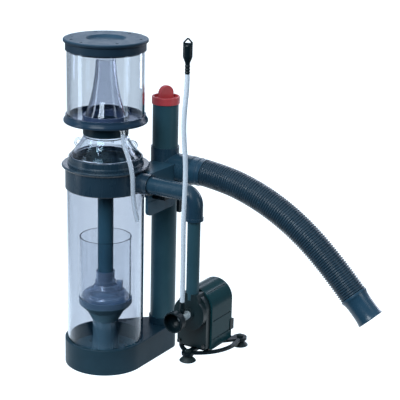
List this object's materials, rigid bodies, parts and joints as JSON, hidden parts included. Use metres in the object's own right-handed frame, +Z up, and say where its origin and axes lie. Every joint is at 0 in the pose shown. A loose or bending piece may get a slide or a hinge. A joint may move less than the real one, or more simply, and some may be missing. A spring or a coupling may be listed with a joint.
{
  "type": "protein skimmer",
  "caption": "Hang-on aquarium protein skimmer: clear reaction tube and foam cup on a slate base, side outlet pipe with tee and ribbed hose, and a submersible venturi pump on a riser.",
  "frame": {"origin": "axis of the reaction tube on the underside of the base", "axes": "+Z up along the reaction tube; +X towards the tank wall, along the inlet arm and the tee branch; +Y along the tank wall, from the reaction tube towards the outlet pipe"},
  "size_m": [0.4103, 0.1592, 0.4526],
  "materials": {
    "slate_plastic": "satin",
    "lid_plastic": "satin",
    "clear_acrylic": "polished",
    "smoke_acrylic": "satin",
    "hose_plastic": "satin",
    "red_plastic": "satin",
    "black_plastic": "satin",
    "pump_plastic": "satin",
    "potting_resin": "cast",
    "white_plastic": "moulded",
    "ferrite": "ground",
    "ceramic": "ground",
    "black_rubber": "matte",
    "clear_vinyl": "flexible",
    "milky_silicone": "translucent",
    "venturi_clear": "moulded",
    "steel": "brushed"
  },
  "bodies": {
    "chamber": {"base_housing": "slate_plastic", "base_bottom_plate": "slate_plastic", "outlet_socket": "slate_plastic", "floor_rib_disc": "slate_plastic", "outlet_pipe": "slate_plastic", "reaction_tube": "clear_acrylic", "pedestal_tube": "clear_acrylic", "diffuser_bowl": "slate_plastic", "diffuser_dome": "smoke_acrylic", "dome_hub": "smoke_acrylic", "inner_cylinder": "clear_acrylic", "downtube": "slate_plastic", "collar_housing": "slate_plastic", "collar_lock_ring": "slate_plastic", "inner_elbow": "slate_plastic", "inlet_elbow": "slate_plastic", "tee_fitting": "slate_plastic", "upper_standpipe": "slate_plastic", "hanger_bracket": "slate_plastic", "hanger_hook": "black_plastic", "hose_inlet_cuff": "hose_plastic", "outlet_hose": "hose_plastic", "hose_end_cuff": "hose_plastic"},
    "foam_cone": {"foam_cone": "clear_acrylic", "cone_o_ring": "black_rubber"},
    "cup": {"cup_wall": "clear_acrylic", "cup_base": "slate_plastic", "cup_riser": "clear_acrylic", "neck_collar": "slate_plastic", "neck_o_ring": "black_rubber", "drain_nipple": "clear_acrylic", "drain_tube": "clear_vinyl"},
    "lid": {"cup_lid": "lid_plastic", "lid_seal": "black_rubber"},
    "regulator": {"regulator_cap": "red_plastic", "regulator_sleeve": "slate_plastic"},
    "pump": {"riser_pipe": "slate_plastic", "pump_housing": "pump_plastic", "motor_core": "potting_resin", "rotor_can": "white_plastic", "volute_cover": "pump_plastic", "pump_o_ring": "black_rubber", "cable_gland": "black_plastic", "impeller_shaft": "ceramic", "shaft_bushes": "black_rubber", "venturi_body": "venturi_clear", "air_nipple": "black_plastic", "intake_bell": "black_plastic", "pump_cradle": "black_plastic", "suction_cups": "black_rubber", "cover_screws": "steel", "air_tube": "milky_silicone", "air_silencer": "black_plastic"},
    "impeller": {"impeller_vanes": "white_plastic", "rotor_magnet": "ferrite"}
  },
  "joints": [
    {"name": "cone_turn", "type": "hinge", "parent": "chamber", "child": "foam_cone", "pos_m": [0, 0, 0.281], "axis": [0, 0, 1], "range_deg": [-20, 0]},
    {"name": "cup_lift", "type": "slide", "parent": "foam_cone", "child": "cup", "axis": [0, 0, 1], "range_m": [0, 0.05]},
    {"name": "lid_lift", "type": "slide", "parent": "cup", "child": "lid", "axis": [0, 0, 1], "range_m": [0, 0.06]},
    {"name": "regulator_turn", "type": "hinge", "parent": "chamber", "child": "regulator", "pos_m": [0.0355, 0.084, 0.34], "axis": [0, 0, 1], "range_deg": [-90, 90]},
    {"name": "pump_swivel", "type": "hinge", "parent": "chamber", "child": "pump", "pos_m": [0.135, 0, 0.23], "axis": [0, 0, 1], "range_deg": [-25, 25]},
    {"name": "impeller_spin", "type": "hinge", "parent": "pump", "child": "impeller", "pos_m": [0.135, 0, 0.1], "axis": [0, 1, 0], "continuous": true}
  ]
}
